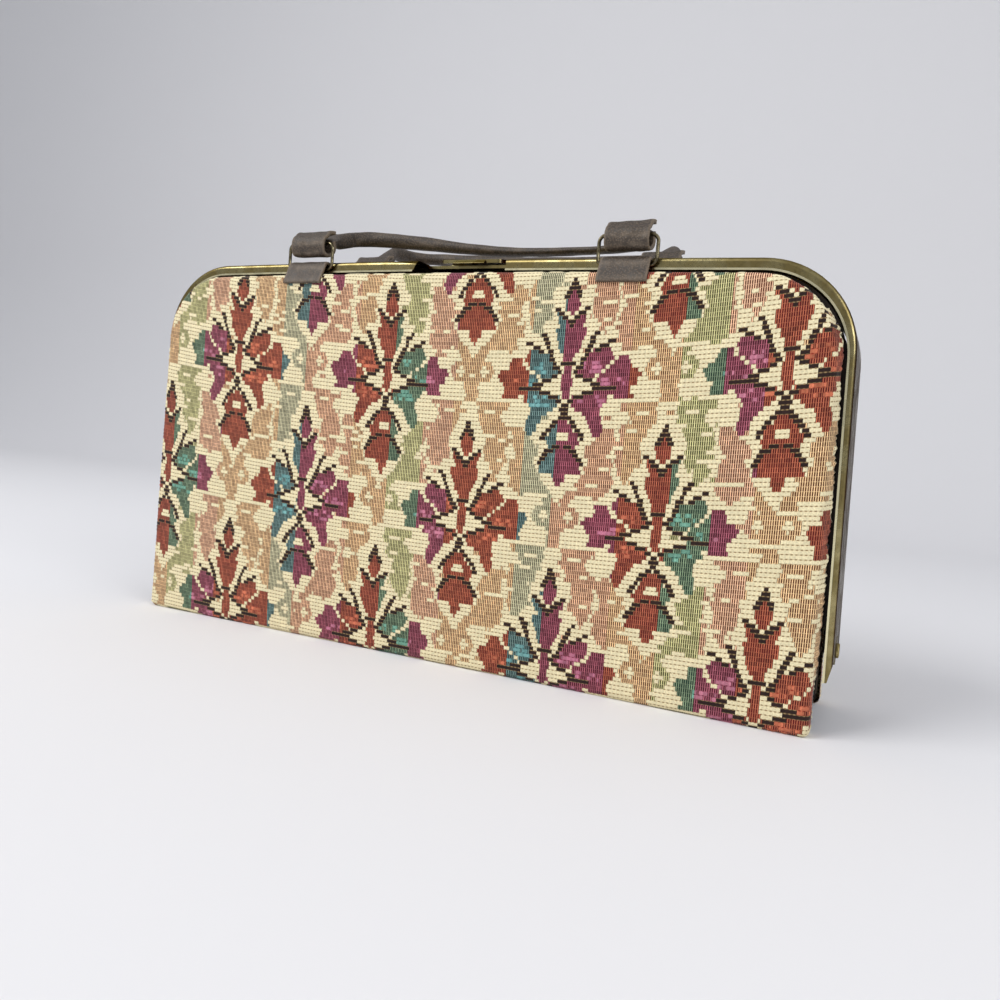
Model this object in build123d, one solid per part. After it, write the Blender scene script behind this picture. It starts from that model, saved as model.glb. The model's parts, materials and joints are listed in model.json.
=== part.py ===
from build123d import *
import math
import os

# A flat carpet bag. Two tapestry-covered panels stand in a hinged brass box frame that
# closes with a lift clasp, and two rolled leather handles hang on wire rings.
# Millimetres. X runs along the bag, the front faces -Y and Z is up.
# The origin is in the middle of the base.

# Panels: board, tapestry cover and lining
panel_bottom_width = 290.0
panel_top_width = 282.0
panel_height = 149.8
top_crown = 1.3
panel_corner_radius = 28.0
panel_foot_radius = 5.0
panel_edge_round = 2.5
bag_depth = 55.0
cover_thickness = 1.0
board_thickness = 6.5
board_round_share = 0.9
lining_thickness = 0.8
hem_width = 2.2
hem_thickness = 1.0
hem_start_share = 0.16
hem_end_share = 0.7
base_thickness = 1.2
gusset_thickness = 0.8
gusset_inset = 4.0
gusset_fold = 6.0
gusset_height = 112.0

# Flowers of the tapestry, slightly raised, in rows set half a step apart
flower_width = 54.0
flower_height = 77.0
flower_step = 75.6
flower_start = -23.8
flower_row_rise = 52.0
flower_top_row = 113.6
flower_shift_share = 0.496
flower_rise = 0.5
flower_field_shares = {
    "bud": ((0, 0.42), (0.1, 0.34), (0, 0.26)),
    "crown": ((0, 0.19), (0.22, 0.18), (0.07, 0), (0, -0.11)),
    "upper": ((0.15, -0.01), (0.31, 0.16), (0.57, 0.12), (0.39, -0.02), (0.27, -0.05)),
    "side": ((0.3, -0.06), (0.62, 0), (0.8, 0.06), (0.98, -0.01), (0.95, -0.12), (0.6, -0.08)),
    "lower": ((0.14, -0.09), (0.62, -0.12), (0.5, -0.2), (0.46, -0.28), (0.27, -0.18)),
    "bell": ((0, -0.22), (0.26, -0.32), (0, -0.34)),
    "drop": ((0, -0.35), (0.3, -0.435), (0.1, -0.52), (0, -0.58)),
    "leaf": ((0.1, -0.66), (0.35, -0.52), (0.62, -0.46), (0.58, -0.54), (0.3, -0.65)),
    "blade": ((0.24, 0.36), (0.74, 0.44), (0.77, 0.33), (0.56, 0.15), (0.48, 0.24)),
}

# Clearances
glue_gap = 0.1
soft_gap = 0.3
run_gap = 0.3
pin_gap = 0.1
overrun = 2.0

# Brass frame, two halves of pressed sheet
frame_sheet = 1.2
frame_side_gap = 2.6
frame_top_gap = 1.6
frame_side_flange = 2.7
frame_top_flange = 4.4
frame_corner_radius = 32.0
frame_edge_round = 1.5
frame_foot = 18.0
foot_taper_width = 1.4
foot_taper_height = 5.5
frame_seam = 0.4
panel_proud = 6.0
lip_width = 0.7
lip_proud = 0.5

# Hinge at the lower end of each side
hinge_height = 25.0
ear_radius = 5.0
ear_strap_length = 14.0
rivet_radius = 1.4
rivet_head_radius = 2.6
rivet_head_height = 0.9
head_round_share = 0.45

# Leather tabs and wire rings
tab_place = 68.6
tab_width = 18.4
tab_radius = 3.6
tab_leather = 1.0
tab_drop = 2.2
ring_wire = 1.3
ring_height = 10.8
ring_bend = 2.6
ring_forward = 1.4
ring_drop = 3.2

# Rolled handles, heights above the frame's top
loop_radius = 4.7
loop_leather = 1.5
loop_width = 16.4
loop_back = 1.4
loop_drop = 0.7
neck_width = 15.0
neck_thickness = 3.2
neck_seat_shares = (0.70, 0.43)
roll_radius = 2.9
roll_depth = 40.9
roll_place_shares = (1.0, 0.955, 0.59)
roll_depth_shares = (0.46, 0.78, 0.90)
roll_fill_share = 0.45
front_roll_left_tip = 13.8
front_roll_left = 18.4
front_roll_near_left = 17.1
front_roll_middle = 12.8
front_roll_near_right = 11.8
front_roll_right = 12.0
front_roll_right_tip = 11.5
rear_roll_left_tip = 20.2
rear_roll_left = 20.2
rear_roll_near_left = 19.0
rear_roll_middle = 17.7
rear_roll_near_right = 17.2
rear_roll_right = 16.7
rear_roll_right_tip = 16.7

# Lift clasp, a little right of the middle
clasp_place = 1.0
notch_width = 40.0
notch_depth = 10.5
notch_slant = 2.5
lever_width = 27.0
lever_sheet = 1.4
lever_reach = 19.0
lever_fall = 3.2
thumb_width = 13.5
thumb_drop = 1.8
thumb_lean = 2.0
thumb_radius = 2.0
thumb_round_share = 0.3
knuckle_radius = 1.9
knuckle_width = 3.4
clasp_base_depth = 12.0
clasp_base_sheet = 1.1
clasp_pin_radius = 0.9
clasp_pin_head = 0.8
pin_head_share = 0.64
clasp_pin_place = 7.0
clasp_pin_height = 3.4
clasp_rivet_radius = 1.1
clasp_rivet_height = 0.6
clasp_rivet_share = 0.36
catch_length = 5.0
catch_depth = 6.0
catch_sheet = 0.4
catch_place = 5.5
catch_ridge_radius = 0.5

# Worked-out places
half_depth = bag_depth / 2
flange_front = half_depth - panel_proud
frame_out = frame_side_gap + frame_side_flange
frame_top_out = frame_top_gap + frame_top_flange
frame_top = panel_height + frame_top_out
lining_back = half_depth - cover_thickness - board_thickness - lining_thickness - 2 * glue_gap
tab_center = flange_front
tab_top = frame_top + top_crown * (1 - (2 * tab_place / panel_top_width) ** 2)
tab_level = tab_top - tab_drop
ring_line = flange_front + ring_forward
ring_low = tab_top - ring_drop
ring_top = ring_low + ring_height
ring_half = tab_width / 2 + soft_gap + ring_wire
clasp_level = frame_top + top_crown
pin_level = clasp_level + clasp_pin_height


def half_width(height):
    """Half of the panel's width at a height; the sides lean in towards the top."""
    lean = (panel_top_width - panel_bottom_width) / panel_height
    return (panel_bottom_width + lean * height) / 2


def arch(side_out, top_out, low, radius):
    """The panel's outline moved outwards, with a slightly arched top and round top corners."""
    top = panel_height + top_out
    low_half = half_width(low) + side_out
    top_half = half_width(top) + side_out
    sides = Polyline((-top_half, top), (-low_half, low), (low_half, low), (top_half, top))
    crown = ThreePointArc((top_half, top), (0, top + top_crown), (-top_half, top))
    face = make_face(sides.edges() + crown.edges())
    return fillet(face.vertices().sort_by(Axis.Y)[-2:], radius)


def slab(face, front, back):
    """A face drawn in X and Z, made solid from y = front to y = back."""
    sheet = Plane(origin=(0, back, 0), x_dir=(1, 0, 0), z_dir=(0, -1, 0)) * face
    return extrude(sheet, back - front)


def bar(face, left, right):
    """A face drawn in Y and Z, made solid from x = left to x = right."""
    sheet = Plane(origin=(left, 0, 0), x_dir=(0, 1, 0), z_dir=(1, 0, 0)) * face
    return extrude(sheet, right - left)


def block(x_ends, y_ends, z_ends):
    """A box between two places on each axis."""
    size = [ends[1] - ends[0] for ends in (x_ends, y_ends, z_ends)]
    middle = [sum(ends) / 2 for ends in (x_ends, y_ends, z_ends)]
    return Pos(*middle) * Box(*size)


def rod(radius, left, right, place, level):
    """A round bar along X."""
    return bar(Pos(place, level) * Circle(radius), left, right)


def rear(part):
    """The same piece on the other half of the bag."""
    return mirror(part, about=Plane.XZ)


def panel_outline(inset):
    """The whole panel seen from the front, drawn in by an inset."""
    face = arch(-inset, -inset, inset, panel_corner_radius - inset)
    return fillet(face.vertices().sort_by(Axis.Y)[:2], panel_foot_radius - inset)


def flower_places():
    """Places of the flowers' hearts, enough rows and steps to fill the panel."""
    steps = math.ceil(panel_bottom_width / flower_step)
    places = []
    for row in range(math.ceil(panel_height / flower_row_rise) + 1):
        shift = flower_start + (row % 2) * flower_shift_share * flower_step
        level = flower_top_row - row * flower_row_rise
        places += [(shift + step * flower_step, level) for step in range(-steps, steps + 1)]
    return places


def flower_fields():
    """Raised fields of colour on the flat of the panel, mirrored about each flower's heart."""
    inset = panel_edge_round + soft_gap
    flat = arch(-inset, -inset, inset, panel_corner_radius - inset)
    fields = []
    for shares in flower_field_shares.values():
        right = [(x * flower_width / 2, z * flower_height) for x, z in shares]
        left = [(-x, z) for x, z in reversed(right)]
        outlines = [right + left] if shares[0][0] == 0 else [right, left]
        fields += [make_face(Polyline(*dict.fromkeys(outline), close=True)) for outline in outlines]
    pieces = []
    for place in flower_places():
        for field in fields:
            kept = (Pos(*place) * field) & flat
            pieces += [slab(face, -half_depth - flower_rise, -half_depth + cover_thickness / 2)
                       for face in (kept.faces() if kept else [])]
    return pieces


def cover():
    """Tapestry turned over the board's edge, with a hem at each side behind the frame's lip."""
    skin = slab(panel_outline(0), -half_depth, -lining_back)
    skin = fillet(skin.edges().group_by(Axis.Y)[0], panel_edge_round)
    hollow = slab(panel_outline(cover_thickness), cover_thickness - half_depth, overrun - lining_back)
    hollow = fillet(hollow.edges().group_by(Axis.Y)[0], panel_edge_round - cover_thickness)
    hem_back = run_gap + frame_sheet - flange_front + hem_thickness
    hem = slab(arch(hem_width, 0, 0, panel_corner_radius), hem_back - hem_thickness, hem_back)
    hem -= slab(panel_outline(cover_thickness), -half_depth, 0)
    reach = panel_bottom_width
    heights = (panel_height * hem_start_share, panel_height * hem_end_share)
    hem &= block((-reach, reach), (-half_depth, 0), heights)
    return skin - hollow + hem + flower_fields()


def board():
    """The stiff board inside a cover."""
    inset = cover_thickness + glue_gap
    front = inset - half_depth
    core = slab(panel_outline(inset), front, front + board_thickness)
    return fillet(core.edges().group_by(Axis.Y)[0], (panel_edge_round - inset) * board_round_share)


def lining():
    """Cloth on the back of a board."""
    inset = cover_thickness + soft_gap
    return slab(panel_outline(inset), -lining_back - lining_thickness, -lining_back)


def base_cover():
    """The strip of tapestry under the bag, between the two covers."""
    half = panel_bottom_width / 2 - panel_foot_radius
    depth = lining_back - soft_gap
    return block((-half, half), (-depth, depth), (0, base_thickness))


def gusset(side):
    """Black side cloth, folded in along the middle."""
    low = base_thickness + soft_gap
    inset = gusset_inset + cover_thickness
    depth = lining_back - soft_gap
    solids = []
    for height in (low, gusset_height):
        edge = half_width(height) - inset
        line = [(edge, -depth), (edge - gusset_fold, 0), (edge, depth)]
        inner = [(x - gusset_thickness, y) for x, y in reversed(line)]
        solids.append(Pos(0, 0, height) * make_face(Polyline(*line, *inner, close=True)))
    cloth = loft(solids, ruled=True)
    return cloth if side > 0 else mirror(cloth, about=Plane.YZ)


def foot_tapers():
    """The slanted cut at the outer corner of each lower end of the frame."""
    high = frame_foot + foot_taper_height
    low = frame_foot - overrun
    wide = half_width(high) + frame_out
    narrow = half_width(frame_foot) + frame_out - foot_taper_width
    past = wide + overrun
    corners = [(narrow, low), (narrow, frame_foot), (wide, high), (past, high), (past, low)]
    cut = slab(make_face(Polyline(*corners, close=True)), -half_depth, 0)
    return cut + mirror(cut, about=Plane.YZ)


def frame_shell():
    """Front half of the frame: a band with a rounded flange and a thin lip."""
    outline = arch(frame_out, frame_top_out, frame_foot, frame_corner_radius)
    shell = slab(outline, -flange_front, -frame_seam / 2)
    rim = shell.edges().group_by(Axis.Y)[0].sort_by(Axis.Z)[1:]
    shell = fillet(rim, frame_edge_round)
    low = frame_foot - overrun
    inner_radius = frame_corner_radius - frame_sheet
    inner = arch(frame_out - frame_sheet, frame_top_out - frame_sheet, low, inner_radius)
    shell -= slab(inner, frame_sheet - flange_front, overrun)
    lip_radius = frame_corner_radius - frame_side_flange
    window = arch(frame_side_gap, frame_top_gap, low, lip_radius)
    lip_out = (frame_side_gap + lip_width, frame_top_gap + lip_width)
    lip = slab(arch(*lip_out, frame_foot, lip_radius + lip_width), -flange_front - lip_proud, -flange_front)
    shell += lip
    return shell - slab(window, -half_depth, overrun - flange_front + frame_sheet) - foot_tapers()


def tab_slots():
    """Slots in the band that the leather tabs pass through."""
    inner = tab_radius - tab_leather
    top_leg = math.sqrt(inner ** 2 - tab_drop ** 2)
    low_leg = math.sqrt(tab_radius ** 2 - (tab_drop - frame_sheet) ** 2)
    ends = (top_leg - tab_center - pin_gap, low_leg - tab_center + soft_gap)
    half = tab_width / 2 + soft_gap
    levels = (tab_top - frame_sheet - overrun, tab_top + overrun)
    slots = [block((x - half, x + half), ends, levels) for x in (-tab_place, tab_place)]
    return slots[0] + slots[1]


def ear_face():
    """The outer face of the hinge ears, measured from the middle of the bag."""
    return half_width(hinge_height) + frame_out


def hinge_relief():
    """Room below the hinge where the two bands' lower ends swing past each other."""
    reach = panel_bottom_width
    side = ear_radius + run_gap
    return block((-reach, reach), (-side, side), (frame_foot - overrun, hinge_height))


def front_frame():
    """Front half: outer ears at the hinge, and a notch for the clasp's thumb lip."""
    shell = frame_shell() - tab_slots() - hinge_relief()
    outer = ear_face()
    for side in (-1, 1):
        ends = sorted((side * (outer - frame_sheet), side * outer))
        ear = rod(ear_radius, *ends, 0, hinge_height)
        shell += ear
        shell -= rod(rivet_radius + pin_gap, ends[0] - overrun, ends[1] + overrun, 0, hinge_height)
    left = clasp_place - notch_width / 2
    right = clasp_place + notch_width / 2
    low = panel_height + frame_top_gap - overrun
    high = clasp_level + overrun
    corners = [(left - notch_slant, low), (right, low), (right, high), (left + notch_slant, high)]
    notch = Polyline(*corners, close=True)
    shell -= slab(make_face(notch), -half_depth, notch_depth - flange_front)
    return shell


def rear_frame():
    """Rear half: inner ears on short straps, clear of the front half's ears."""
    shell = rear(frame_shell() - tab_slots()) - hinge_relief()
    outer = ear_face()
    reach = ear_radius + run_gap
    for side in (-1, 1):
        room = sorted((side * (outer - 2 * frame_sheet), side * (outer + overrun)))
        shell -= rod(reach, *room, 0, hinge_height)
        face = outer - frame_sheet - run_gap
        ends = sorted((side * (face - frame_sheet), side * face))
        ear = rod(ear_radius - run_gap, *ends, 0, hinge_height)
        levels = (hinge_height, hinge_height + ear_radius - run_gap)
        ear += block(ends, (0, ear_strap_length), levels)
        seat = sorted((side * face, side * (outer - frame_sheet / 2)))
        ear += block(seat, (reach + run_gap, ear_strap_length), levels)
        ear -= rod(rivet_radius, ends[0] - overrun, ends[1] + overrun, 0, hinge_height)
        shell += ear
    return shell


def hinge_rivet(side):
    """Rivet through both ears, with a domed head outside."""
    outer = ear_face() + pin_gap
    inner = ear_face() - 2 * frame_sheet - run_gap
    rivet = rod(rivet_radius, inner, outer, 0, hinge_height)
    head = rod(rivet_head_radius, outer, outer + rivet_head_height, 0, hinge_height)
    rivet += fillet(head.edges().group_by(Axis.X)[-1], rivet_head_height * head_round_share)
    rivet += rod(rivet_head_radius, inner - rivet_head_height, inner, 0, hinge_height)
    return rivet if side > 0 else mirror(rivet, about=Plane.YZ)


def tab(place):
    """Leather loop round the frame's flange and the ring's lower bar."""
    loop = Circle(tab_radius) - Circle(tab_radius - tab_leather)
    half = tab_width / 2
    return bar(Pos(-tab_center, tab_level) * loop, place - half, place + half)


def ring(place):
    """Rectangular wire ring standing in its tab."""
    middle = (ring_low + ring_top) / 2
    outline = RectangleRounded(2 * ring_half, ring_height, ring_bend)
    path = (Plane(origin=(place, -ring_line, middle), x_dir=(1, 0, 0), z_dir=(0, -1, 0)) * outline).wire()
    wire = Plane(origin=path @ 0, z_dir=path % 0) * Circle(ring_wire / 2)
    return sweep(wire, path=path)


def roll_points(line, heights):
    """Corners of a handle's route, from the left neck round the back to the right neck."""
    depths = [line + roll_depth * share for share in roll_depth_shares]
    places = [tab_place * share for share in roll_place_shares]
    left = [(-place, depth) for place, depth in zip(places, depths)]
    right = [(place, depth) for place, depth in zip(places, depths)]
    route = left + [(0, line + roll_depth)] + right[::-1]
    return [Vector(*point, frame_top + height) for point, height in zip(route, heights)]


def handle_roll(line, heights):
    """Stuffed leather roll along straight runs and wide bends."""
    points = roll_points(line, heights)
    radii = []
    for before, corner, after in zip(points, points[1:], points[2:]):
        turn = math.radians((corner - before).get_angle(after - corner))
        run = min((corner - before).length, (after - corner).length)
        radii.append(roll_fill_share * run / math.tan(turn / 2))
    path = FilletPolyline(*points, radius=radii)
    section = Plane(origin=path @ 0, z_dir=path % 0) * Circle(roll_radius)
    return sweep(section, path=path)


def handle_end(line, heights, side):
    """Strap looped over the ring's top bar, drawn together into the roll."""
    points = roll_points(line, heights)
    tip, beyond = (points[0], points[1]) if side < 0 else (points[-1], points[-2])
    place = side * tab_place
    center = (line + loop_back, ring_top - loop_drop)
    loop = Circle(loop_radius) - Circle(loop_radius - loop_leather)
    half = loop_width / 2
    strap = bar(Pos(*center) * loop, place - half, place + half)
    seat = [center[0] + loop_radius * neck_seat_shares[0], center[1] + loop_radius * neck_seat_shares[1]]
    neck = Ellipse(neck_width / 2, neck_thickness / 2)
    flat = Plane(origin=(place, *seat), x_dir=(1, 0, 0), z_dir=(0, 1, 0)) * neck
    round_end = Plane(origin=tip, x_dir=(1, 0, 0), z_dir=beyond - tip) * Circle(roll_radius)
    return strap + loft([flat, round_end])


def clasp_base():
    """Plate on the rear half's top, with a knuckle at each end."""
    half = lever_width / 2 + run_gap + knuckle_width
    front = clasp_pin_place - clasp_base_depth / 2
    levels = (clasp_level, clasp_level + clasp_base_sheet)
    plate = block((clasp_place - half, clasp_place + half), (front, front + clasp_base_depth), levels)
    for left in (clasp_place - half, clasp_place + half - knuckle_width):
        ends = (left, left + knuckle_width)
        plate += rod(knuckle_radius, *ends, clasp_pin_place, pin_level)
        sides = (clasp_pin_place - knuckle_radius, clasp_pin_place + knuckle_radius)
        plate += block(ends, sides, (clasp_level, pin_level))
    ends = (clasp_place - half - overrun, clasp_place + half + overrun)
    return plate - rod(clasp_pin_radius, *ends, clasp_pin_place, pin_level)


def clasp_lever():
    """Sheet lever on the pin, ending in a narrow thumb lip that curls down into the notch."""
    top = pin_level + knuckle_radius
    tip = clasp_pin_place - lever_reach
    bury = lever_sheet * thumb_round_share
    heel = [(clasp_pin_place, top - bury), (clasp_pin_place, top - bury - lever_sheet)]
    edge = [(tip, top - lever_fall - lever_sheet), (tip, top - lever_fall)]
    half = lever_width / 2
    plate = bar(make_face(Polyline(*heel, *edge, close=True)), clasp_place - half, clasp_place + half)
    plate = fillet(plate.edges().filter_by(Axis.Z).group_by(Axis.Y)[0], thumb_radius)
    root = top - lever_fall - bury
    low = top - lever_fall - thumb_drop
    outer = [(tip + lever_sheet, root), (tip - bury, root), (tip - thumb_lean, low)]
    inner = [(tip - thumb_lean + lever_sheet, low), (tip + lever_sheet, root - lever_sheet / 2)]
    lip = make_face(Polyline(*outer, *inner, close=True))
    lip = fillet(lip.vertices().sort_by(Axis.Y)[:2], bury * thumb_round_share)
    half = thumb_width / 2
    lip = bar(lip, clasp_place - half, clasp_place + half)
    half = lever_width / 2
    knuckle = rod(knuckle_radius, clasp_place - half, clasp_place + half, clasp_pin_place, pin_level)
    lever = plate + lip + knuckle
    bore = clasp_pin_radius + pin_gap
    reach = half + overrun
    return lever - rod(bore, clasp_place - reach, clasp_place + reach, clasp_pin_place, pin_level)


def clasp_pin():
    """Pin through the clasp's knuckles, with a flat head at each end."""
    half = lever_width / 2 + run_gap + knuckle_width
    left, right = clasp_place - half, clasp_place + half
    pin = rod(clasp_pin_radius, left, right, clasp_pin_place, pin_level)
    head = knuckle_radius * pin_head_share
    pin += rod(head, left - clasp_pin_head, left, clasp_pin_place, pin_level)
    return pin + rod(head, right, right + clasp_pin_head, clasp_pin_place, pin_level)


def clasp_rivets():
    """Two domed rivets behind the lever that hold the base to the frame."""
    level = clasp_level + clasp_base_sheet
    place = clasp_pin_place + (knuckle_radius + clasp_base_depth / 2) / 2
    heads = []
    for side in (-1, 1):
        head = Pos(clasp_place + side * clasp_rivet_share * lever_width, place, level) * Cylinder(
            clasp_rivet_radius, clasp_rivet_height, align=(Align.CENTER, Align.CENTER, Align.MIN))
        heads.append(fillet(head.edges().group_by(Axis.Z)[-1], clasp_rivet_height * head_round_share))
    return Compound(children=heads)


def catch_plates():
    """Two ridged plates on the front half, under the lever on each side of its thumb lip."""
    inner = thumb_width / 2 + 2 * run_gap
    plates = []
    for side in (-1, 1):
        ends = sorted((clasp_place + side * inner, clasp_place + side * (inner + catch_length)))
        sides = (-catch_place - catch_depth / 2, -catch_place + catch_depth / 2)
        plate = block(ends, sides, (clasp_level, clasp_level + catch_sheet))
        ridge = rod(catch_ridge_radius, *ends, -catch_place, clasp_level + catch_sheet)
        plates.append(plate + (ridge & block(ends, sides, (clasp_level, clasp_level + catch_depth))))
    return Compound(children=plates)


front_line = -ring_line
front_heights = (front_roll_left_tip, front_roll_left, front_roll_near_left, front_roll_middle,
                 front_roll_near_right, front_roll_right, front_roll_right_tip)
rear_heights = (rear_roll_left_tip, rear_roll_left, rear_roll_near_left, rear_roll_middle,
                rear_roll_near_right, rear_roll_right, rear_roll_right_tip)
front_cover = cover()
front_board = board()
front_lining = lining()

parts = {
    "front_frame": front_frame(),
    "rear_frame": rear_frame(),
    "left_hinge_rivet": hinge_rivet(-1),
    "right_hinge_rivet": hinge_rivet(1),
    "front_cover": front_cover,
    "rear_cover": rear(front_cover),
    "front_board": front_board,
    "rear_board": rear(front_board),
    "front_lining": front_lining,
    "rear_lining": rear(front_lining),
    "base_cover": base_cover(),
    "left_gusset": gusset(-1),
    "right_gusset": gusset(1),
    "clasp_base": clasp_base(),
    "clasp_lever": clasp_lever(),
    "clasp_pin": clasp_pin(),
    "clasp_rivets": clasp_rivets(),
    "catch_plates": catch_plates(),
    "front_handle_roll": handle_roll(front_line, front_heights),
    "rear_handle_roll": handle_roll(ring_line, rear_heights),
}
for name, side in (("left", -1), ("right", 1)):
    place = side * tab_place
    parts[f"front_{name}_tab"] = tab(place)
    parts[f"rear_{name}_tab"] = rear(tab(place))
    parts[f"front_{name}_ring"] = ring(place)
    parts[f"rear_{name}_ring"] = rear(ring(place))
    parts[f"front_{name}_handle_end"] = handle_end(front_line, front_heights, side)
    parts[f"rear_{name}_handle_end"] = handle_end(ring_line, rear_heights, side)

os.makedirs("parts", exist_ok=True)
for name, part in parts.items():
    export_step(part, f"parts/{name}.step")
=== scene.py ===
import json
import math

import bmesh
import bpy
import numpy as np
from mathutils import Matrix, Vector, noise


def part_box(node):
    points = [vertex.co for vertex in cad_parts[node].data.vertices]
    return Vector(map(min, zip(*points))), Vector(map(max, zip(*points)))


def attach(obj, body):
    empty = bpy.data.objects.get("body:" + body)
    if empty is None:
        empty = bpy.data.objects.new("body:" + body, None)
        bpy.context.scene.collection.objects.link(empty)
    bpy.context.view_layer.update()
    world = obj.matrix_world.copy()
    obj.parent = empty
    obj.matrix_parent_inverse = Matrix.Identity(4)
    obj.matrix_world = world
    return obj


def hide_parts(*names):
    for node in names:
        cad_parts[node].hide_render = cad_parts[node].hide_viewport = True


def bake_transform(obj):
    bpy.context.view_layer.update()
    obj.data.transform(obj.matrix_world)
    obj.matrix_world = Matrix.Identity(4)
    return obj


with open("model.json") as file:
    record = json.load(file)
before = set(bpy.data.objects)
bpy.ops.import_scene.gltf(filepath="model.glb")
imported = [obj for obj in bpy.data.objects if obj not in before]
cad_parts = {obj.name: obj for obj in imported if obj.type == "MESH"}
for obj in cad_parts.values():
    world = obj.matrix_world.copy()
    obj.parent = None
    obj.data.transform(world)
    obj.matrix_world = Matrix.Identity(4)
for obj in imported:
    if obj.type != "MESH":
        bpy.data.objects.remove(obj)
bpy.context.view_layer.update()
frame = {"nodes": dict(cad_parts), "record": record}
scene = bpy.context.scene
scene.view_settings.view_transform = "Standard"
mm = 0.001
print("frame loaded")


# Camera, as the bag was photographed: from the right, a little above its middle
photoView = {
    "place": (160.0, -317.0, 88.5),  # mm
    "yaw": 24.34,  # degrees
    "pitch": -3.97,
    "roll": 4.56,
    "focalShare": 0.85,  # focal length over the picture's width
    "sensor": 36.0,  # mm
    "clipStart": 0.01,  # m
}


def makeCamera():
    data = bpy.data.cameras.new("photoCamera")
    data.sensor_width = photoView["sensor"]
    data.lens = photoView["sensor"] * photoView["focalShare"]
    data.clip_start = photoView["clipStart"]
    camera = bpy.data.objects.new("photoCamera", data)
    yaw, pitch, roll = (math.radians(photoView[key]) for key in ("yaw", "pitch", "roll"))
    turn = Matrix.Rotation(yaw, 4, "Z") @ Matrix.Rotation(math.pi / 2 + pitch, 4, "X")
    turn = turn @ Matrix.Rotation(roll, 4, "Z")
    camera.matrix_world = Matrix.Translation(Vector(photoView["place"]) * mm) @ turn
    scene.collection.objects.link(camera)
    scene.camera = camera


# Small helpers
def linear(hexColour):
    parts = [int(hexColour[i:i + 2], 16) / 255 for i in (1, 3, 5)]
    parts = [p / 12.92 if p <= 0.04045 else ((p + 0.055) / 1.055) ** 2.4 for p in parts]
    return (*parts, 1.0)


def adjust(tree, made, settings=None, links=None):
    # sockets by name, or by number where names repeat: of a Mix node, 2 and 3 are values, 6 and 7 colours
    for key, value in (settings or {}).items():
        if isinstance(key, str) and hasattr(made, key):
            setattr(made, key, value)
        else:
            made.inputs[key].default_value = value
    for key, source in (links or {}).items():
        tree.links.new(source, made.inputs[key])
    return made


def node(tree, kind, settings=None, links=None):
    return adjust(tree, tree.nodes.new("ShaderNode" + kind), settings, links)


def newMaterial(name):
    material = bpy.data.materials.new(name)
    material.use_nodes = True
    tree = material.node_tree
    return material, tree, tree.nodes["Principled BSDF"]


def newPiece(name, bm, material):
    mesh = bpy.data.meshes.new(name)
    bm.to_mesh(mesh)
    bm.free()
    mesh.materials.append(material)
    piece = bpy.data.objects.new(name, mesh)
    scene.collection.objects.link(piece)
    mesh.shade_smooth()
    return piece


def place(piece, body, slot, *nodes):
    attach(piece, body)
    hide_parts(*nodes)


# Studio: a pale sweep, a soft lamp high on the left and a weak one on the right
studio = {  # m, and W for the lamps
    "floorSize": 8.0,
    "sweepPlace": 0.75,
    "sweepRadius": 0.5,
    "sweepSteps": 24,
    "wallHeight": 1.6,
    "floorColour": "#e6e5e6",
    "floorRoughness": 0.85,
    "skyColour": "#e8ebf2",
    "skyLow": 0.42,
    "skyHigh": 0.72,
    "skyRamp": (0.1, 0.55),  # heights between which the sky brightens, as the sine of the angle
    "lampAim": (0, 0, 0.08),
    "keyPlace": (-0.75, -0.85, 1.15),
    "keySize": 1.0,
    "keyPower": 14.5,
    "fillPlace": (1.1, -0.6, 0.7),
    "fillSize": 0.8,
    "fillPower": 5.0,
}


def makeLamp(name, spot, size, power):
    data = bpy.data.lights.new(name, "AREA")
    data.shape = "DISK"
    data.size = size
    data.energy = power
    lamp = bpy.data.objects.new(name, data)
    lamp.location = spot
    lamp.rotation_mode = "QUATERNION"
    aim = Vector(studio["lampAim"]) - Vector(spot)
    lamp.rotation_quaternion = aim.to_track_quat("-Z", "Y")
    scene.collection.objects.link(lamp)


def makeSky():
    world = bpy.data.worlds.new("studioSky")
    world.use_nodes = True
    tree = world.node_tree
    # dim round the room and bright overhead, so that metal shows both
    heading = node(tree, "TexCoord")
    axes = node(tree, "SeparateXYZ", links={0: heading.outputs["Generated"]})
    rampStart, rampEnd = studio["skyRamp"]
    glow = node(tree, "MapRange", {"interpolation_type": "SMOOTHSTEP", "From Min": rampStart,
                                   "From Max": rampEnd, "To Min": studio["skyLow"],
                                   "To Max": studio["skyHigh"]}, {0: axes.outputs[2]})
    adjust(tree, tree.nodes["Background"], {"Color": linear(studio["skyColour"])},
           {"Strength": glow.outputs[0]})
    scene.world = world


def extrudeEdges(bm, edges, move):
    run = bmesh.ops.extrude_edge_only(bm, edges=edges)["geom"]
    moved = [v for v in run if isinstance(v, bmesh.types.BMVert)]
    bmesh.ops.translate(bm, verts=moved, vec=move)
    return [e for e in run if isinstance(e, bmesh.types.BMEdge) and all(v in moved for v in e.verts)]


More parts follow.
